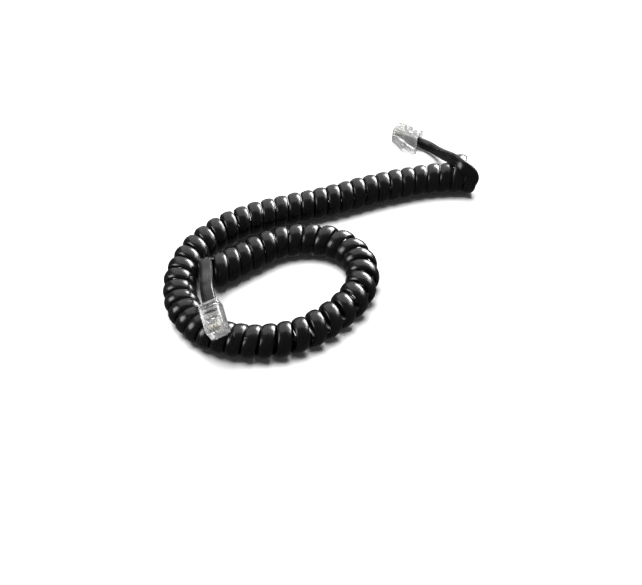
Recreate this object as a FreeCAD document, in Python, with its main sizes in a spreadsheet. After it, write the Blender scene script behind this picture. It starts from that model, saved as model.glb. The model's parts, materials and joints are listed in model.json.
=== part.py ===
# Coiled handset-style cord with a clear four-contact modular plug on each end.
# Millimetres, +Z up. The origin is the centre of the base of the cord as it lies on a table.
import FreeCAD, Part
import Sketcher
import math
import os

V = FreeCAD.Vector
doc = FreeCAD.newDocument("coiled_cord")

# ---------------------------------------------------------------- driving dimensions
DIMENSIONS = [
    ("coil_outer", 13.5),          # outside diameter of the coiled stretch
    ("cord_width", 5.2),           # flat cord, wide way
    ("cord_thickness", 2.5),       # flat cord, thin way
    ("tail_diameter", 3.85),       # plain round tube with the section area of the flat cord
    ("jacket_out", 2.0),           # straight jacket behind each plug
    ("jacket_in", 6.3),            # jacket inside each plug
    ("plug_length", 12.3),
    ("plug_width", 7.65),
    ("plug_height", 6.6),
    ("plug_chamfer", 1.0),         # nose edge over the contacts
    ("plug_round", 0.25),          # moulded outer edges
    ("cord_axis", 3.0),            # height of the cord above the latch side of the plug
    ("cavity_gap", 0.1),           # all round the jacket inside the plug
    ("core_diameter", 0.95),       # one insulated core
    ("core_gap", 0.08),
    ("core_end", 11.3),            # where the cores end, from the cord side
    ("window_start", 1.2),         # strain relief window, from the cord side
    ("window_length", 4.0),
    ("window_width", 5.8),
    ("window_floor", 4.15),
    ("bar_start", 2.5),            # strain relief bar, pressed 0.1 into the jacket
    ("bar_length", 1.3),
    ("bar_top", 5.9),
    ("core_window_start", 7.0),
    ("core_window_length", 1.1),
    ("core_window_width", 4.4),
    ("core_window_floor", 4.4),
    ("contact_pitch", 1.02),
    ("contact_thickness", 0.32),
    ("contact_start", 9.4),
    ("contact_end", 11.9),
    ("contact_top", 6.1),
    ("contact_root", 3.9),         # where the teeth begin
    ("contact_tip", 2.75),         # points of the teeth, inside the core
    ("slot_gap", 0.04),            # each side of a contact
    ("slot_floor", 2.6),
    ("hinge_x", 11.4),             # latch hinge, from the cord side
    ("hinge_z", -0.35),
    ("hinge_radius", 0.6),
    ("hinge_gap", 0.06),           # running clearance of the hinge
    ("cheek_width", 0.7),          # hinge boss each side of the latch
    ("latch_length", 15.0),
    ("latch_thickness", 0.8),
    ("latch_top", 0.2),            # upper face of the lever above the hinge axis
    ("latch_width", 3.2),
    ("latch_shoulder", 4.2),       # locking step
    ("shoulder_start", 1.9),
    ("shoulder_end", 7.2),
    ("ramp_height", 0.9),
    ("latch_open", 17.0),          # free lever, open from the plug's latch side
    ("latch_leaning", 12.0),       # lever that the coil under plug B presses in a little
]
sheet = doc.addObject("Spreadsheet::Sheet", "dims")
for row, (alias, value) in enumerate(DIMENSIONS, start=1):
    sheet.set("A%d" % row, alias)
    sheet.set("B%d" % row, str(value))
    sheet.setAlias("B%d" % row, alias)
doc.recompute()


def size(alias):
    return float(sheet.get(alias))


# ---------------------------------------------------------------- routes and plug places
# The coil's centre line on the table, from the end by plug A to the end by plug B.
COIL_ROUTE = [
    (65.2, 31.3), (50.7, 32.3), (34.5, 28.8), (17.5, 23.3), (-0.5, 15.8), (-19.5, 10.3),
    (-36.5, 3.5), (-49.5, -6.5), (-57.3, -19.5), (-59.3, -34.5), (-55.4, -48.7), (-44.3, -59.5),
    (-28.5, -63), (-12.3, -60.4), (1.2, -50.8), (11.4, -38.8), (14.6, -25), (8, -11.4),
    (-6.5, -6.2), (-22, -9), (-34, -18.2), (-45.3, -26),
]
# Each tail leaves its plug, lifts over the coil's side and runs into the coil's last turn.
TAIL_A_ROUTE = [
    (43.4, 59.4, 3.8), (47.4, 56.3, 3.8), (50.3, 49.8, 6.1), (52.8, 41.8, 10.4), (54.9, 34, 14.9),
    (57.7, 28.8, 15.6), (61.4, 27.3, 13.6), (62.8, 25.8, 10.6), (62.4, 25.2, 7.6),
]
TAIL_B_ROUTE = [
    (-44.3, -54.8, 21.3), (-45.4, -51.1, 21.9), (-46.2, -45, 20.6), (-47.1, -37.2, 17),
    (-48.2, -30.2, 15), (-49, -25.6, 13.4), (-48.6, -22.9, 10.4),
]
PLUG_A = FreeCAD.Placement(V(40.1, 58, 3.825), FreeCAD.Rotation(146, 0, 90))
PLUG_B = FreeCAD.Placement(V(-42.9, -55.9, 18.2), FreeCAD.Rotation(-73, 11, 20))


# ---------------------------------------------------------------- helpers
def origin_plane(body, role):
    return next(f for f in body.Origin.OriginFeatures if f.Role == role)


def new_sketch(body, name, role, lift="0"):
    """An empty sketch on an origin plane, lifted along the plane's normal by a formula."""
    sketch = body.newObject("Sketcher::SketchObject", name)
    sketch.AttachmentSupport = [(origin_plane(body, role), "")]
    sketch.MapMode = "FlatFace"
    if lift != "0":
        sketch.setExpression(".AttachmentOffset.Base.z", lift)
    return sketch


def outline(sketch, corners):
    """A closed outline whose corners are pairs of formulas of the sheet's cells."""
    places = [(sketch.evalExpression(a), sketch.evalExpression(b)) for a, b in corners]
    count = len(places)
    for i in range(count):
        first, second = places[i], places[(i + 1) % count]
        sketch.addGeometry(Part.LineSegment(V(*first, 0), V(*second, 0)), False)
    for i in range(count):
        sketch.addConstraint(Sketcher.Constraint("Coincident", i, 2, (i + 1) % count, 1))
    for i, (across, along) in enumerate(corners):
        for kind, formula, value in (("X", across, places[i][0]), ("Y", along, places[i][1])):
            if abs(value) < 1e-9:
                axis = -2 if kind == "X" else -1
                sketch.addConstraint(Sketcher.Constraint("PointOnObject", i, 1, axis))
                continue
            rule = Sketcher.Constraint("Distance" + kind, -1, 1, i, 1, value)
            number = sketch.addConstraint(rule)
            sketch.setExpression("Constraints[%d]" % number, formula)
    return sketch


def rectangle(sketch, left, right, low, high):
    return outline(sketch, [(left, low), (right, low), (right, high), (left, high)])


def ring(sketch, across, along, radius):
    """A circle whose centre and radius are formulas."""
    centre = [sketch.evalExpression(across), sketch.evalExpression(along)]
    value = sketch.evalExpression(radius)
    sketch.addGeometry(Part.Circle(V(*centre, 0), V(0, 0, 1), value), False)
    for kind, formula, place in (("X", across, centre[0]), ("Y", along, centre[1])):
        if abs(place) < 1e-9:
            axis = -2 if kind == "X" else -1
            sketch.addConstraint(Sketcher.Constraint("PointOnObject", 0, 3, axis))
            continue
        number = sketch.addConstraint(Sketcher.Constraint("Distance" + kind, -1, 1, 0, 3, place))
        sketch.setExpression("Constraints[%d]" % number, formula)
    number = sketch.addConstraint(Sketcher.Constraint("Radius", 0, value))
    sketch.setExpression("Constraints[%d]" % number, radius)
    return sketch


def feature(body, kind, name, sketch, length, middle=False, back=False):
    """A Pad or Pocket of a sketch, by a length formula."""
    made = body.newObject("PartDesign::" + kind, name)
    made.Profile = sketch
    made.setExpression("Length", length)
    if middle:
        made.Midplane = True
    if back:
        made.Reversed = True
    sketch.Visibility = False
    return made


def new_body(label):
    body = doc.addObject("PartDesign::Body", label)
    body.Label = label
    return body


def volume_after(body):
    doc.recompute()
    return body.Shape.Volume


# ---------------------------------------------------------------- plug pieces
def make_housing(label, place):
    """The clear moulded shell. Local X runs from the cord side to the nose, +Z to the contacts."""
    body = new_body(label)
    side = outline(new_sketch(body, label + "_side", "XZ_Plane"), [
        ("0", "0"),
        ("dims.plug_length", "0"),
        ("dims.plug_length", "dims.plug_height - dims.plug_chamfer"),
        ("dims.plug_length - dims.plug_chamfer", "dims.plug_height"),
        ("0", "dims.plug_height"),
    ])
    shell = feature(body, "Pad", label + "_shell", side, "dims.plug_width", middle=True)
    doc.recompute()
    rim = []
    for number, edge in enumerate(shell.Shape.Edges, start=1):
        if all(abs(abs(v.Y) - size("plug_width") / 2) < 1e-6 for v in edge.Vertexes):
            rim.append("Edge%d" % number)
    rounds = body.newObject("PartDesign::Fillet", label + "_rounds")
    rounds.Base = (shell, rim)
    rounds.setExpression("Radius", "dims.plug_round")
    solid = volume_after(body)

    # Boss under the nose that holds the latch barrel between two cheeks.
    half = "(dims.latch_width / 2 + dims.cheek_width)"
    boss_side = outline(new_sketch(body, label + "_boss_side", "XZ_Plane"), [
        ("dims.hinge_x - 2 * dims.hinge_radius", "dims.plug_round"),
        ("dims.hinge_x - dims.hinge_radius", "dims.hinge_z - dims.hinge_radius"),
        ("dims.plug_length - dims.plug_round", "dims.hinge_z - dims.hinge_radius"),
        ("dims.plug_length - dims.plug_round", "dims.plug_round"),
    ])
    feature(body, "Pad", label + "_boss", boss_side, "2 * " + half, middle=True)
    assert volume_after(body) > solid, "the boss adds nothing"

    cuts = []

    def cut(name, sketch, length, middle=False, back=False):
        before = volume_after(body)
        pocket = feature(body, "Pocket", label + "_" + name, sketch, length, middle, back)
        after = volume_after(body)
        cuts.append((name, before - after))
        return pocket

    half_width = "(dims.cord_width / 2 + dims.cavity_gap)"
    half_height = "(dims.cord_thickness / 2 + dims.cavity_gap)"
    mouth = rectangle(new_sketch(body, label + "_mouth", "YZ_Plane"),
                      "-" + half_width, half_width,
                      "dims.cord_axis - " + half_height, "dims.cord_axis + " + half_height)
    cut("cable_cavity", mouth, "dims.jacket_in + dims.cavity_gap", back=True)

    row = "(1.5 * dims.contact_pitch + dims.core_diameter / 2 + dims.core_gap)"
    bore = "(dims.core_diameter / 2 + dims.core_gap)"
    channel = rectangle(new_sketch(body, label + "_channel", "YZ_Plane"), "-" + row, row,
                        "dims.cord_axis - " + bore, "dims.cord_axis + " + bore)
    cut("core_cavity", channel, "dims.core_end + dims.core_gap", back=True)

    window = rectangle(new_sketch(body, label + "_window", "XY_Plane", "dims.plug_height"),
                       "dims.window_start", "dims.window_start + dims.window_length",
                       "-dims.window_width / 2", "dims.window_width / 2")
    cut("strain_window", window, "dims.plug_height - dims.window_floor")

    core_window = rectangle(
        new_sketch(body, label + "_core_window", "XY_Plane", "dims.plug_height"),
        "dims.core_window_start", "dims.core_window_start + dims.core_window_length",
        "-dims.core_window_width / 2", "dims.core_window_width / 2")
    cut("core_relief", core_window, "dims.plug_height - dims.core_window_floor")

    gap = "(dims.contact_thickness / 2 + dims.slot_gap)"
    slot = rectangle(new_sketch(body, label + "_slot", "XY_Plane", "dims.plug_height"),
                     "dims.contact_start - dims.slot_gap", "dims.plug_length + 1",
                     "-1.5 * dims.contact_pitch - " + gap, "-1.5 * dims.contact_pitch + " + gap)
    first = cut("contact_slot", slot, "dims.plug_height - dims.slot_floor")
    row_of_slots = body.newObject("PartDesign::LinearPattern", label + "_contact_slots")
    row_of_slots.Originals = [first]
    row_of_slots.Direction = (slot, ["V_Axis"])
    row_of_slots.setExpression("Length", "3 * dims.contact_pitch")
    row_of_slots.Occurrences = 4
    body.Tip = row_of_slots

    groove = ring(new_sketch(body, label + "_groove", "XZ_Plane"), "dims.hinge_x", "dims.hinge_z",
                  "dims.hinge_radius + dims.hinge_gap")
    cut("hinge_groove", groove, "dims.latch_width + 2 * dims.hinge_gap", middle=True)
    throat = rectangle(new_sketch(body, label + "_throat", "XZ_Plane"),
                       "dims.hinge_x - 3 * dims.hinge_radius", "dims.hinge_x",
                       "dims.hinge_z - 2 * dims.hinge_radius", "-dims.hinge_gap")
    cut("hinge_throat", throat, "dims.latch_width + 2 * dims.hinge_gap", middle=True)

    bar = rectangle(new_sketch(body, label + "_bar_side", "XZ_Plane"),
                    "dims.bar_start", "dims.bar_start + dims.bar_length",
                    "dims.window_floor", "dims.bar_top")
    before = volume_after(body)
    feature(body, "Pad", label + "_strain_bar", bar, "dims.window_width", middle=True)
    cuts.append(("strain_bar", volume_after(body) - before))
    for name, change in cuts:
        assert change > 0.01, "%s %s changes nothing" % (label, name)
    body.Placement = place
    return body


def make_latch(label, place, angle):
    """The snap lever. Its own origin is the hinge axis, and it runs towards -X."""
    body = new_body(label)
    barrel = ring(new_sketch(body, label + "_barrel_end", "XZ_Plane"), "0", "0",
                  "dims.hinge_radius")
    feature(body, "Pad", label + "_barrel", barrel, "dims.latch_width", middle=True)
    narrow = "dims.latch_width / 2"
    wide = "dims.latch_shoulder / 2"
    edge = [("0", narrow), ("-dims.shoulder_start", narrow),
            ("-dims.shoulder_start - 0.6", wide), ("-dims.shoulder_end", wide),
            ("-dims.shoulder_end", narrow), ("-dims.latch_length + 0.9", narrow),
            ("-dims.latch_length", narrow + " - 0.9")]
    mirrored = [(along, "-(%s)" % across) for along, across in reversed(edge)]
    plan = outline(new_sketch(body, label + "_plan", "XY_Plane",
                              "dims.latch_top - dims.latch_thickness"), edge + mirrored)
    feature(body, "Pad", label + "_lever", plan, "dims.latch_thickness")
    ramp = outline(new_sketch(body, label + "_ramp_side", "XZ_Plane"), [
        ("-dims.shoulder_start - 0.6", "dims.latch_top - dims.latch_thickness"),
        ("-dims.shoulder_end", "dims.latch_top - dims.latch_thickness - dims.ramp_height"),
        ("-dims.shoulder_end", "dims.latch_top - dims.latch_thickness"),
    ])
    feature(body, "Pad", label + "_lock_ramp", ramp, "dims.latch_shoulder", middle=True)
    volume_after(body)
    hinge = V(size("hinge_x"), 0, size("hinge_z"))
    opening = FreeCAD.Rotation(V(0, 1, 0), -size(angle))
    body.Placement = place.multiply(FreeCAD.Placement(hinge, opening))
    return body


def make_contact(label, place, offset):
    """A plated blade with two teeth that pierce one core."""
    body = new_body(label)
    blade = outline(new_sketch(body, label + "_side", "XZ_Plane"), [
        ("dims.contact_start", "dims.contact_root"),
        ("dims.contact_start + 0.35", "dims.contact_tip"),
        ("dims.contact_start + 0.7", "dims.contact_root"),
        ("dims.contact_end - 0.9", "dims.contact_root"),
        ("dims.contact_end - 0.55", "dims.contact_tip"),
        ("dims.contact_end - 0.2", "dims.contact_root"),
        ("dims.contact_end", "dims.contact_root"),
        ("dims.contact_end", "dims.contact_top - 0.6"),
        ("dims.contact_end - 0.6", "dims.contact_top"),
        ("dims.contact_start", "dims.contact_top"),
    ])
    feature(body, "Pad", label + "_blade", blade, "dims.contact_thickness", middle=True)
    volume_after(body)
    body.Placement = place.multiply(FreeCAD.Placement(V(0, offset, 0), FreeCAD.Rotation()))
    return body


def make_core(label, place, offset):
    """The end of one insulated core, from the jacket to the nose."""
    core = doc.addObject("Part::Cylinder", label)
    core.Label = label
    core.setExpression("Radius", "dims.core_diameter / 2")
    core.setExpression("Height", "dims.core_end - dims.jacket_in")
    start = V(size("jacket_in"), offset, size("cord_axis"))
    along = FreeCAD.Rotation(V(0, 1, 0), 90)
    core.Placement = place.multiply(FreeCAD.Placement(start, along))
    return core


def make_plug(side, place, latch_angle):
    """All the pieces of one plug, as a list of document objects."""
    made = [make_housing("plug_%s_housing" % side, place)]
    made.append(make_latch("plug_%s_latch" % side, place, latch_angle))
    for number in range(4):
        offset = (number - 1.5) * size("contact_pitch")
        made.append(make_contact("plug_%s_contact_%d" % (side, number + 1), place, offset))
        made.append(make_core("plug_%s_core_%d" % (side, number + 1), place, offset))
    return made


# ---------------------------------------------------------------- cord pieces
def rounded_path(points):
    """Straight runs joined by tangent arcs, as large as their two runs allow."""
    edges = []
    radii = []
    start = points[0]
    for before, corner, after in zip(points, points[1:], points[2:]):
        back, ahead = before - corner, after - corner
        turn = math.pi - back.getAngle(ahead)
        reach = 0.45 * min(back.Length, ahead.Length)
        radii.append(reach / math.tan(turn / 2))
        back.normalize()
        ahead.normalize()
        enter, leave = corner + back * reach, corner + ahead * reach
        inward = (back + ahead).normalize()
        depth = radii[-1] / math.cos(turn / 2) - radii[-1]
        edges.append(Part.LineSegment(start, enter).toShape())
        edges.append(Part.Arc(enter, corner + inward * depth, leave).toShape())
        start = leave
    edges.append(Part.LineSegment(start, points[-1]).toShape())
    return Part.Wire(edges), radii


def tube(points, diameter, name):
    """A round tube along a route, with its radii and volume printed."""
    path, radii = rounded_path(points)
    heading = points[1] - points[0]
    section = Part.Wire([Part.Circle(points[0], heading, diameter / 2).toShape()])
    solid = path.makePipeShell([section], True, True)
    expected = math.pi * diameter ** 2 / 4 * path.Length
    print("%s: length %.1f, volume %.1f of %.1f, radii %s" % (
        name, path.Length, solid.Volume, expected, ["%.0f" % r for r in radii]))
    assert abs(solid.Volume / expected - 1) < 0.01, name + " has a wrong volume"
    return solid


def jacket_end(place):
    """The flat end of the jacket, straight through the plug's mouth to the cores."""
    width, thickness = size("cord_width"), size("cord_thickness")
    length = size("jacket_in") + size("jacket_out")
    half = (width - thickness) / 2
    radius = thickness / 2
    top, low = V(0, half, radius), V(0, half, -radius)
    right = Part.Arc(top, V(0, half + radius, 0), low).toShape()
    left = Part.Arc(V(0, -half, -radius), V(0, -half - radius, 0), V(0, -half, radius)).toShape()
    across_low = Part.LineSegment(low, V(0, -half, -radius)).toShape()
    across_top = Part.LineSegment(V(0, -half, radius), top).toShape()
    face = Part.Face(Part.Wire([right, across_low, left, across_top]))
    prism = face.extrude(V(length, 0, 0))
    prism.Placement = place.multiply(
        FreeCAD.Placement(V(-size("jacket_out"), 0, size("cord_axis")), FreeCAD.Rotation()))
    return prism


def add_shape(label, shape):
    made = doc.addObject("Part::Feature", label)
    made.Label = label
    made.Shape = shape
    return made


def make_coil():
    """One closed tube of the coil's outside diameter, lying on the table."""
    height = size("coil_outer") / 2
    points = [V(x, y, height) for x, y in COIL_ROUTE]
    return add_shape("coil_envelope", tube(points, size("coil_outer"), "coil_envelope"))


def make_tail(label, route, place):
    """The uncoiled cord between a plug and the coil, with its flat end inside the plug."""
    round_part = tube([V(*p) for p in route], size("tail_diameter"), label)
    return add_shape(label, round_part.fuse(jacket_end(place)).removeSplitter())


parts = [
    make_coil(),
    make_tail("tail_a", TAIL_A_ROUTE, PLUG_A),
    make_tail("tail_b", TAIL_B_ROUTE, PLUG_B),
]
parts += make_plug("a", PLUG_A, "latch_open")
parts += make_plug("b", PLUG_B, "latch_leaning")
doc.recompute()

for item in doc.Objects:
    if "Invalid" in item.State or "Error" in item.State:
        raise RuntimeError("%s did not build: %s" % (item.Label, item.State))
for item in parts:
    shape = item.Shape
    if shape.isNull() or not shape.isValid() or len(shape.Solids) != 1:
        raise RuntimeError("%s is not one valid solid" % item.Label)

os.makedirs("parts", exist_ok=True)
for item in parts:
    item.Shape.exportStep("parts/%s.step" % item.Label)
print("%d parts written" % len(parts))
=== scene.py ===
import json
import math
import bmesh
import bpy
from mathutils import Matrix, Vector


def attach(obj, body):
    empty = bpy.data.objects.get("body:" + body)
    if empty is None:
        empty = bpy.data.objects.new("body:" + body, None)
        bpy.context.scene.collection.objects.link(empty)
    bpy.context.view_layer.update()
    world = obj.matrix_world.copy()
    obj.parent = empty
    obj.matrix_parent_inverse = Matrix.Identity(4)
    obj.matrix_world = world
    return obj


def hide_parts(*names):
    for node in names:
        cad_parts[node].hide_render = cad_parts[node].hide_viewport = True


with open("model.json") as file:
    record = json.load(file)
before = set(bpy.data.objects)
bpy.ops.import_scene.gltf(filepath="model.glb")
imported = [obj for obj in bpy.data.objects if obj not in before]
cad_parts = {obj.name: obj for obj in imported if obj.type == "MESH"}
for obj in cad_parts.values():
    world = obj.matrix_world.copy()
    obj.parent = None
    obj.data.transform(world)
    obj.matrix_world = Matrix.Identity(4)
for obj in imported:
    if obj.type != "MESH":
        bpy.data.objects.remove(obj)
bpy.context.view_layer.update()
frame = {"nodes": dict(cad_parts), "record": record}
MM = 0.001

# ------------------------------------------------------------------ plug and cord, in millimetres
PLUG_LENGTH = 12.3
NOSE_HEIGHT = 3.3          # height of the jack mount over the plug's latch side
CORD_AXIS = 3.0            # height of the cord over the plug's latch side
CORD_WIDTH = 5.2
WOUND_WIDTH = 5.5          # a wound turn is a little wider than the tails
CORD_THICKNESS = 2.5
COIL_OUTER = 13.5

# The coil's centre line, from the end by plug A to the end by plug B.
COIL_ROUTE = [
    (65.2, 31.3), (50.7, 32.3), (34.5, 28.8), (17.5, 23.3), (-0.5, 15.8), (-19.5, 10.3),
    (-36.5, 3.5), (-49.5, -6.5), (-57.3, -19.5), (-59.3, -34.5), (-55.4, -48.7), (-44.3, -59.5),
    (-28.5, -63), (-12.3, -60.4), (1.2, -50.8), (11.4, -38.8), (14.6, -25), (8, -11.4),
    (-6.5, -6.2), (-22, -9), (-34, -18.2), (-45.3, -26),
]
# The tails, each from its plug to the coil.
TAIL_A_ROUTE = [
    (43.4, 59.4, 3.8), (47.4, 56.3, 3.8), (50.3, 49.8, 6.1), (52.8, 41.8, 10.4), (54.9, 34, 14.9),
    (57.7, 28.8, 15.6), (61.4, 27.3, 13.6), (62.8, 25.8, 10.6), (62.4, 25.2, 7.6),
]
TAIL_B_ROUTE = [
    (-44.3, -54.8, 21.3), (-45.4, -51.1, 21.9), (-46.2, -45, 20.6), (-47.1, -37.2, 17),
    (-48.2, -30.2, 15), (-49, -25.6, 13.4), (-48.6, -22.9, 10.4),
]

# ------------------------------------------------------------------ how the coil is wound
# How far apart the turns lie: distance along the route, then the pitch there.
PITCH = [(0, 5.75), (95, 5.8), (118, 6.35), (143, 6.35), (160, 5.6), (172, 5.1), (190, 5.15),
         (205, 6.15), (235, 7.3), (255, 6.8), (268, 6.3), (280, 6.4), (292, 6.2), (312, 6.1),
         (322, 5.3), (340, 5.0)]
# Angles round the coil are counted from its back upwards.
COIL_START = math.radians(175)   # where the wire meets tail A
COIL_END = math.radians(45)      # where it meets tail B
COIL_MARGIN = 3.6          # from the start of the route to the first turn
COIL_BEYOND = 1.6          # how far the last turn runs past the route
OPEN_START = math.radians(300)   # where the first turn starts to stand off the others
OPEN_RANGE = math.radians(220)   # how far round it does so
OPEN_GAP = 3.6             # how far it stands off at most
TURN_SLACK = 0.12          # how far inside the coil's outer size the turns lie on average
# Slow waves in the turns' radius: height, angle for each angle of the coil, and phase.
WAVES = [(0.072, 0.37, 0.0), (0.06, 0.113, 1.3)]
END_TURNS = 5              # turns by tail B that lean
END_LEAN = 0.45            # how far the last one leans, along over across

# ------------------------------------------------------------------ how a tail runs
JACKET_IN = 6.3            # jacket inside each plug
JACKET_OUT = 2.0           # straight jacket behind each plug
TAIL_SKIP = 1.0            # start of each route, left out so that the straight jacket runs into it
TAIL_CUT = 5.0             # end of each route, where a bridge to the coil takes its place
BRIDGE_REACH = 0.42        # how firmly the bridge keeps its ends' directions
TWIST_A = (0.38, 0.86)     # shares of the tail's length between which it twists
TWIST_B = (0.4, 1)
FLATTENING = 1.2           # a tail's flatness at its plug before it is limited to 1; 0 at the coil
# Powers of the section's cosine and sine: 1 and 1 make an ellipse, and less is flatter.
WOUND_POWERS = (1.0, 1.08)
TAIL_POWERS = (0.6, 0.48)

# ------------------------------------------------------------------ steps of the meshes
SPLINE_STEPS = 24          # points of a line for each control point of its route
PITCH_STEP = 0.02          # millimetres between two readings of the pitch
TURN_STEPS = 44            # rings for each turn of the coil
TAIL_STEP = 0.5            # millimetres between the rings of a tail
STRAIGHT_STEPS = 8
BRIDGE_STEPS = 16
SECTION_STEPS = 24         # points round the cord

# ------------------------------------------------------------------ stage
FLOOR_REACH = 6.0
SUN_PLACE = (-0.14, 0.12, 1.0)
SUN_STRENGTH = 5.2
SUN_SPREAD = math.radians(44)
WORLD_LIGHT = 0.1          # the white surroundings light the cord weakly and look full white
# Softboxes: place in metres, width and height in metres, watts.
SOFTBOXES = {
    "window": ((0.57, 0.78, 0.4), (0.75, 0.5), 36),
    "side_window": ((0.82, 0.3, 0.52), (0.25, 0.5), 4),
    "sky": ((-0.05, 0.64, 0.77), (1.6, 1.3), 10),
    "backdrop": ((0.1, 1.1, 0.02), (1.6, 0.5), 2.2),
    "left_wall": ((-0.86, -0.15, 0.4), (0.5, 0.5), 7),
}
CAMERA_PLACE = (-3.1, -304.0, 293)
CAMERA_DOWN = 47           # degrees under the horizon
CAMERA_LENS = 56.1
CAMERA_SENSOR = 36


# ------------------------------------------------------------------ helpers for materials
def node_tree(name):
    """A new material, its node tree and its shader."""
    mat = bpy.data.materials.new(name)
    mat.use_nodes = True
    tree = mat.node_tree
    return mat, tree, tree.nodes["Principled BSDF"]


def add(tree, kind, **values):
    """A new node whose inputs, or else its settings, have the values given."""
    made = tree.nodes.new(kind)
    for key, value in values.items():
        if key in made.inputs:
            made.inputs[key].default_value = value
        else:
            setattr(made, key, value)
    return made


def link(tree, source, output, target, socket):
    tree.links.new(source.outputs[output], target.inputs[socket])


def ramp(tree, source, output, low, high, start=0.35, end=0.65):
    """A value between low and high as the source goes from start to end."""
    made = add(tree, "ShaderNodeMapRange")
    made.inputs["From Min"].default_value = start
    made.inputs["From Max"].default_value = end
    made.inputs["To Min"].default_value = low
    made.inputs["To Max"].default_value = high
    link(tree, source, output, made, "Value")
    return made


def object_noise(tree, scale, detail, roughness=0.5):
    """Noise in the object's own space, with its scale in features to the metre."""
    place = add(tree, "ShaderNodeTexCoord")
    noise = add(tree, "ShaderNodeTexNoise", Scale=scale, Detail=detail, Roughness=roughness)
    link(tree, place, "Object", noise, "Vector")
    return noise


def two_tone(tree, noise, shader, dark, light):
    """The base colour goes from dark to light with the noise."""
    made = add(tree, "ShaderNodeValToRGB")
    made.color_ramp.elements[0].color = (*dark, 1)
    made.color_ramp.elements[1].color = (*light, 1)
    link(tree, noise, "Fac", made, "Fac")
    link(tree, made, "Color", shader, "Base Color")


def uneven_gloss(tree, noise, shader, low, high):
    """The roughness goes from low to high with the noise."""
    level = ramp(tree, noise, "Fac", low, high)
    link(tree, level, "Result", shader, "Roughness")


def relief(tree, source, output, shader, strength, depth):
    """A bump on the surface, with its depth in metres."""
    bump = add(tree, "ShaderNodeBump", Strength=strength, Distance=depth)
    link(tree, source, output, bump, "Height")
    link(tree, bump, "Normal", shader, "Normal")


# ------------------------------------------------------------------ materials
def black_pvc():
    """Glossy soft PVC: fine extrusion streaks along the cord and faint unevenness."""
    mat, tree, shader = node_tree("black_pvc")
    # The map holds millimetres along the cord and shares round it, so the streaks are long.
    uv = add(tree, "ShaderNodeUVMap", uv_map="cord")
    stretch = add(tree, "ShaderNodeMapping", Scale=(0.05, 26.0, 1.0))
    link(tree, uv, "UV", stretch, "Vector")
    streaks = add(tree, "ShaderNodeTexNoise", Scale=1.0, Detail=3.0, Roughness=0.6)
    link(tree, stretch, "Vector", streaks, "Vector")
    patches = object_noise(tree, 110.0, 2.0)
    two_tone(tree, patches, shader, (0.0012, 0.0012, 0.0013), (0.0042, 0.0042, 0.0045))
    uneven_gloss(tree, streaks, shader, 0.2, 0.3)
    shader.inputs["IOR"].default_value = 1.45
    grain = object_noise(tree, 900.0, 4.0, 0.65)
    height = add(tree, "ShaderNodeMath", operation="MULTIPLY_ADD")
    height.inputs[1].default_value = 0.35       # how much of the grain is added to the streaks
    link(tree, grain, "Fac", height, 0)
    link(tree, streaks, "Fac", height, 2)
    relief(tree, height, "Value", shader, 0.22, 0.0002)
    return mat


def clear_plastic():
    """Clear polycarbonate with flow marks."""
    mat, tree, shader = node_tree("clear_plastic")
    flow = object_noise(tree, 420.0, 2.0)
    uneven_gloss(tree, flow, shader, 0.08, 0.18)
    relief(tree, flow, "Fac", shader, 0.6, 0.0005)
    shader.inputs["Base Color"].default_value = (0.82, 0.82, 0.82, 1)
    shader.inputs["Transmission Weight"].default_value = 0.85
    shader.inputs["IOR"].default_value = 1.58
    shader.inputs["Specular IOR Level"].default_value = 0.35
    return mat


def gold_plate():
    """Gold plating with fine, slightly uneven brushing."""
    mat, tree, shader = node_tree("gold_plate")
    brushed = object_noise(tree, 3000.0, 3.0)
    uneven_gloss(tree, brushed, shader, 0.16, 0.34)
    two_tone(tree, brushed, shader, (0.62, 0.55, 0.42), (0.86, 0.8, 0.66))
    shader.inputs["Metallic"].default_value = 1.0
    return mat


def core_plastic(name, colour):
    """Satin insulation of one core."""
    mat, tree, shader = node_tree(name)
    mottle = object_noise(tree, 1500.0, 2.0)
    two_tone(tree, mottle, shader, [c * 0.8 for c in colour], colour)
    uneven_gloss(tree, mottle, shader, 0.35, 0.5)
    return mat


# ------------------------------------------------------------------ lines and directions
def mix(first, second, share):
    return first + (second - first) * share


def clamp(value):
    return min(max(value, 0), 1)


def spline_points(points, name):
    """Points along the smooth NURBS line that has these as its control points, in metres."""
    curve = bpy.data.curves.new(name, "CURVE")
    curve.dimensions = "3D"
    curve.resolution_u = SPLINE_STEPS
    spline = curve.splines.new("NURBS")
    spline.points.add(len(points) - 1)
    for target, place in zip(spline.points, points):
        target.co = (*[c * MM for c in place], 1)
    spline.order_u = 3
    spline.use_endpoint_u = True
    holder = bpy.data.objects.new(name, curve)
    bpy.context.scene.collection.objects.link(holder)
    bpy.context.view_layer.update()
    graph = bpy.context.evaluated_depsgraph_get()
    mesh = bpy.data.meshes.new_from_object(holder.evaluated_get(graph))
    line = [v.co.copy() for v in mesh.vertices]
    bpy.data.objects.remove(holder)
    bpy.data.curves.remove(curve)
    bpy.data.meshes.remove(mesh)
    return line


def lengths(line):
    """The distance along a line to each of its points."""
    total = [0.0]
    for a, b in zip(line, line[1:]):
        total.append(total[-1] + (b - a).length)
    return total


def at_length(line, total, wanted, hint=0):
    """The point and direction of a line at a distance along it, and the step it was found on."""
    i = hint
    while i < len(total) - 2 and total[i + 1] < wanted:
        i += 1
    span = max(total[i + 1] - total[i], 1e-12)
    share = (wanted - total[i]) / span
    # The direction turns evenly from one end of the step to the other.
    ahead = (line[i + 1] - line[i]).normalized()
    before = (line[i] - line[max(i - 1, 0)]).normalized() if i else ahead
    after = line[min(i + 2, len(line) - 1)] - line[i + 1]
    after = after.normalized() if after.length > 0 else ahead
    start, end = (before + ahead).normalized(), (ahead + after).normalized()
    way = start.lerp(end, clamp(share)).normalized()
    return line[i].lerp(line[i + 1], share), way, i


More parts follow.
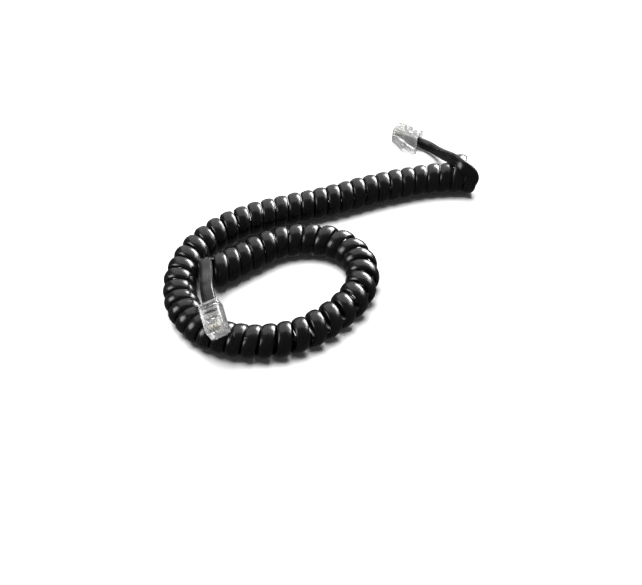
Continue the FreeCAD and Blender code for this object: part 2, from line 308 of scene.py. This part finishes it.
def evenly(line, step):
    """The same line with points a step apart."""
    total = lengths(line)
    count = max(2, round(total[-1] / step))
    made, hint = [], 0
    for i in range(count + 1):
        place, _, hint = at_length(line, total, total[-1] * i / count, hint)
        made.append(place)
    return made


def bezier(a, a_way, b, b_way, reach, count):
    """Points of a smooth bridge from a to b, without its two ends."""
    p1, p2 = a + a_way * reach, b - b_way * reach
    line = []
    for i in range(1, count):
        u = i / count
        line.append(a * (1 - u) ** 3 + p1 * 3 * u * (1 - u) ** 2
                    + p2 * 3 * u * u * (1 - u) + b * u ** 3)
    return line


def way_at(line, i):
    """The direction of a line at one of its points."""
    return (line[min(i + 1, len(line) - 1)] - line[max(i - 1, 0)]).normalized()


def square_to(way, wide):
    """The wide direction without what lies along the way."""
    return (wide - way * wide.dot(way)).normalized()


def carried(line, wide):
    """Wide directions carried along a line with no twist of their own."""
    made = []
    before = None
    for i in range(len(line)):
        way = way_at(line, i)
        if before is not None:
            wide = before.rotation_difference(way) @ wide
        wide = square_to(way, wide)
        made.append(wide.copy())
        before = way
    return made


def twisted(line, start_wide, end_wide, from_share, to_share):
    """Wide directions from one end's to the other's, by the least twist of a flat cord.

    The twist lies between two shares of the line's length."""
    made = carried(line, start_wide)
    count = len(line) - 1
    way = way_at(line, count)
    goal = square_to(way, end_wide)
    last = made[-1]
    turn = math.atan2(last.cross(goal).dot(way), last.dot(goal))
    # A flat cord reads the same turned half round, so a quarter turn is the most it needs.
    if turn > math.pi / 2:
        turn -= math.pi
    elif turn < -math.pi / 2:
        turn += math.pi
    for i, wide in enumerate(made):
        share = clamp((i / count - from_share) / (to_share - from_share))
        share = share * share * (3 - 2 * share)
        made[i] = Matrix.Rotation(turn * share, 3, way_at(line, i)) @ wide
    return made


def matched(wides, goal):
    """The wide directions, or their opposites where their end points away from the goal."""
    return [-w for w in wides] if wides[-1].dot(goal) < 0 else wides


# ------------------------------------------------------------------ the coil
def pitch_at(distance):
    for (near, first), (far, second) in zip(PITCH, PITCH[1:]):
        if distance <= far:
            return mix(first, second, (distance - near) / (far - near))
    return PITCH[-1][1]


def winding(start, end):
    """Distances along the route, each with the angle that the wire has wound by there."""
    made, distance, angle = [], start, 0.0
    while distance < end:
        made.append((distance, angle))
        angle += 2 * math.pi * PITCH_STEP / pitch_at(distance)
        distance += PITCH_STEP
    return made


def turn_radius(angle):
    """How far the wire lies from the coil's centre line, at an angle round the coil."""
    wave = sum(height * math.sin(angle * speed + phase) for height, speed, phase in WAVES)
    share = (angle - OPEN_START) / OPEN_RANGE
    opening = math.sin(math.pi * share) ** 2 if 0 < share < 1 else 0
    return (COIL_OUTER - CORD_THICKNESS) / 2 - TURN_SLACK + wave + OPEN_GAP * opening


def coil_turns():
    """Points and wide directions of the wire through the coil, from plug A's end to plug B's."""
    route = spline_points([(x, y, COIL_OUTER / 2) for x, y in COIL_ROUTE], "coil_route")
    total = lengths(route)
    wound = winding(COIL_MARGIN, total[-1] / MM + COIL_BEYOND)
    whole = wound[-1][1]
    # The angle is stretched a little, so that the wire ends where tail B meets it.
    part_turn = COIL_END - COIL_START
    turns = round((whole - part_turn) / (2 * math.pi))
    stretch = (part_turn + 2 * math.pi * turns) / whole
    count = turns * TURN_STEPS
    places, wides = [], []
    hint = j = 0
    for i in range(count + 1):
        target = whole * i / count
        while j < len(wound) - 2 and wound[j + 1][1] < target:
            j += 1
        share = (target - wound[j][1]) / (wound[j + 1][1] - wound[j][1])
        distance = wound[j][0] + PITCH_STEP * share
        centre, way, hint = at_length(route, total, distance * MM, hint)
        side = way.cross(Vector((0, 0, 1)))
        angle = COIL_START + target * stretch
        out = side * math.cos(angle) + Vector((0, 0, math.sin(angle)))
        radius = turn_radius(angle) * MM
        # The tail pulls the last turns out of square, so their fronts lean past the coil's end.
        near_end = max(0, 1 - (count - i) / (END_TURNS * TURN_STEPS))
        lean = END_LEAN * near_end ** 2
        places.append(centre + out * radius - way * (lean * math.cos(angle) * radius))
        wides.append((way + side * lean).normalized())
    print("coil: %.1f turns, wire %.3f m" % (whole * stretch / (2 * math.pi), lengths(places)[-1]))
    return places, wides


# ------------------------------------------------------------------ the tails
def plug_place(side):
    """The plug's own frame in the row: X to the nose, Z to the contacts, origin at the cord side."""
    hinge = next(j for j in frame["record"]["behaviour"]["joints"] if "latch_%s" % side in j["name"])
    across = Vector(hinge["axis"]).normalized()
    nose = next(m for m in frame["record"]["mounts"] if m["name"] == "plug_%s_into_jack" % side)
    along = Vector(nose["axis"]).normalized()
    up = along.cross(across).normalized()
    turn = Matrix((along, across, up)).transposed().to_4x4()
    origin = Vector(nose["pos_m"]) - along * (PLUG_LENGTH * MM) - up * (NOSE_HEIGHT * MM)
    return Matrix.Translation(origin) @ turn


def tail(route, name, plug, coil_end, coil_way):
    """The line of one tail, from the jacket's end inside the plug to the coil."""
    inner = plug @ Vector((JACKET_IN * MM, 0, CORD_AXIS * MM))
    outer = plug @ Vector((-JACKET_OUT * MM, 0, CORD_AXIS * MM))
    straight = [inner.lerp(outer, i / STRAIGHT_STEPS) for i in range(STRAIGHT_STEPS + 1)]
    line = spline_points(route, name)
    total = lengths(line)
    middle = [p for p, s in zip(line, total) if TAIL_SKIP * MM < s < total[-1] - TAIL_CUT * MM]
    arrive = (middle[-1] - middle[-2]).normalized()
    reach = (coil_end - middle[-1]).length * BRIDGE_REACH
    bridge = bezier(middle[-1], arrive, coil_end, coil_way, reach, BRIDGE_STEPS)
    return evenly(straight + middle + bridge + [coil_end], TAIL_STEP * MM)


# ------------------------------------------------------------------ the cord's mesh
def flat_section(flatness):
    """The cord's section as pairs of wide and thin: crowned where it is wound, flatter in a tail."""
    width = mix(WOUND_WIDTH, CORD_WIDTH, flatness)
    powers = [mix(wound, flat, flatness) for wound, flat in zip(WOUND_POWERS, TAIL_POWERS)]
    made = []
    for i in range(SECTION_STEPS):
        a = 2 * math.pi * i / SECTION_STEPS
        c, s = math.cos(a), math.sin(a)
        wide = math.copysign(abs(c) ** powers[0], c) * width / 2
        thin = math.copysign(abs(s) ** powers[1], s) * CORD_THICKNESS / 2
        made.append((wide * MM, thin * MM))
    return made


def sweep(name, line, wides, flatness):
    """A closed mesh of a section along a line, with a map of millimetres along and shares round."""
    shape = bmesh.new()
    uv = shape.loops.layers.uv.new("cord")
    rings = []
    for i, place in enumerate(line):
        way = way_at(line, i)
        wide = square_to(way, wides[i])
        thin = way.cross(wide)
        section = flat_section(flatness[i])
        rings.append([shape.verts.new(place + wide * w + thin * t) for w, t in section])
    total = lengths(line)
    for i, (first, second) in enumerate(zip(rings, rings[1:])):
        for j in range(SECTION_STEPS):
            k = (j + 1) % SECTION_STEPS
            face = shape.faces.new((first[j], second[j], second[k], first[k]))
            face.smooth = True
            corners = ((i, j), (i + 1, j), (i + 1, j + 1), (i, j + 1))
            for loop, (a, b) in zip(face.loops, corners):
                loop[uv].uv = (total[a] / MM, b / SECTION_STEPS)
    shape.faces.new(rings[0])
    shape.faces.new(list(reversed(rings[-1])))
    bmesh.ops.recalc_face_normals(shape, faces=shape.faces)
    mesh = bpy.data.meshes.new(name)
    shape.to_mesh(mesh)
    shape.free()
    made = bpy.data.objects.new(name, mesh)
    bpy.context.scene.collection.objects.link(made)
    return made


def make_cord(material):
    """The whole cord and the line that it follows, from plug A to plug B."""
    place_a, place_b = plug_place("a"), plug_place("b")
    coil, coil_wides = coil_turns()
    into = (coil[1] - coil[0]).normalized()
    out = (coil[-1] - coil[-2]).normalized()
    first = tail(TAIL_A_ROUTE, "tail_a_route", place_a, coil[0], into)
    last = tail(TAIL_B_ROUTE, "tail_b_route", place_b, coil[-1], -out)
    first_wides = twisted(first, place_a.col[1].to_3d(), coil_wides[0], *TWIST_A)
    last_wides = twisted(last, place_b.col[1].to_3d(), coil_wides[-1], *TWIST_B)
    first_wides = matched(first_wides, coil_wides[0])
    last_wides = matched(last_wides, coil_wides[-1])
    line = first[:-1] + coil + list(reversed(last[:-1]))
    wides = first_wides[:-1] + coil_wides + list(reversed(last_wides[:-1]))
    # A tail is flat at its plug and grows rounder towards the coil.
    flatness = [clamp(FLATTENING * (1 - i / len(first))) for i in range(len(first) - 1)]
    flatness += [0.0] * len(coil)
    flatness += [clamp(FLATTENING * i / len(last)) for i in range(len(last) - 1)]
    cord = sweep("coiled_cord", line, wides, flatness)
    cord.data.materials.append(material)
    return cord, line


# ------------------------------------------------------------------ the object
def paint(node, material):
    """Gives a CAD node its finish, on the object and not on its mesh."""
    for slot in frame["nodes"][node].material_slots:
        slot.link = "OBJECT"
        slot.material = material


PVC = black_pvc()
CLEAR = clear_plastic()
GOLD = gold_plate()
CORES = [core_plastic("core_black", (0.02, 0.02, 0.022)), core_plastic("core_red", (0.2, 0.07, 0.06)),
         core_plastic("core_green", (0.09, 0.16, 0.1)), core_plastic("core_yellow", (0.6, 0.54, 0.36))]

cord, cord_line = make_cord(PVC)
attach(cord, "cord")
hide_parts("coil_envelope", "tail_a", "tail_b")

for side in "ab":
    paint("plug_%s_housing" % side, CLEAR)
    paint("plug_%s_latch" % side, CLEAR)
    for number, core in enumerate(CORES, start=1):
        paint("plug_%s_contact_%d" % (side, number), GOLD)
        paint("plug_%s_core_%d" % (side, number), core)

plug_b_pieces = ["plug_b_housing", "plug_b_latch"]
plug_b_pieces += ["plug_b_contact_%d" % n for n in range(1, 5)]
plug_b_pieces += ["plug_b_core_%d" % n for n in range(1, 5)]


# ------------------------------------------------------------------ floor, lights and camera
def make_floor():
    """A plain white floor without reflections of its own, and hidden from the cord's gloss."""
    mesh = bpy.data.meshes.new("floor")
    corners = [(-FLOOR_REACH, -FLOOR_REACH, 0), (FLOOR_REACH, -FLOOR_REACH, 0),
               (FLOOR_REACH, FLOOR_REACH, 0), (-FLOOR_REACH, FLOOR_REACH, 0)]
    mesh.from_pydata(corners, [], [(0, 1, 2, 3)])
    floor = bpy.data.objects.new("floor", mesh)
    bpy.context.scene.collection.objects.link(floor)
    floor.visible_glossy = False
    mat, _, shader = node_tree("floor_white")
    shader.inputs["Base Color"].default_value = (0.92, 0.92, 0.92, 1)
    shader.inputs["Roughness"].default_value = 0.9
    shader.inputs["Specular IOR Level"].default_value = 0.0
    mesh.materials.append(mat)


def aimed(name, light, place):
    """A light that looks at the row's origin, placed in metres."""
    holder = bpy.data.objects.new(name, light)
    bpy.context.scene.collection.objects.link(holder)
    holder.location = place
    holder.rotation_euler = (-Vector(place)).to_track_quat("-Z", "Y").to_euler()
    return holder


def softbox(name, place, size, power):
    """A softbox that only shows as a highlight."""
    light = bpy.data.lights.new(name, "AREA")
    light.shape = "RECTANGLE"
    light.size, light.size_y = size
    light.energy = power
    holder = aimed(name, light, place)
    holder.visible_diffuse = False
    holder.visible_transmission = False


def make_lights():
    sun = bpy.data.lights.new("overhead", "SUN")
    sun.energy = SUN_STRENGTH
    sun.angle = SUN_SPREAD
    aimed("overhead", sun, SUN_PLACE).visible_glossy = False
    for name, (place, size, power) in SOFTBOXES.items():
        softbox(name, place, size, power)


def make_world():
    """White surroundings, weak as a light and full white to the camera."""
    world = bpy.data.worlds.new("studio")
    bpy.context.scene.world = world
    world.use_nodes = True
    tree = world.node_tree
    back = tree.nodes["Background"]
    back.inputs["Color"].default_value = (1, 1, 1, 1)
    path = add(tree, "ShaderNodeLightPath")
    level = ramp(tree, path, "Is Camera Ray", WORLD_LIGHT, 1.0, 0, 1)
    link(tree, level, "Result", back, "Strength")


def make_camera():
    """Looks along +Y and down at the loop, from a little over 0.4 m."""
    data = bpy.data.cameras.new("camera")
    data.sensor_width = CAMERA_SENSOR
    data.lens = CAMERA_LENS
    camera = bpy.data.objects.new("camera", data)
    bpy.context.scene.collection.objects.link(camera)
    camera.location = [c * MM for c in CAMERA_PLACE]
    camera.rotation_euler = (math.radians(90 - CAMERA_DOWN), 0, 0)
    bpy.context.scene.camera = camera


make_floor()
make_lights()
make_world()
make_camera()
bpy.context.scene.view_settings.view_transform = "Standard"
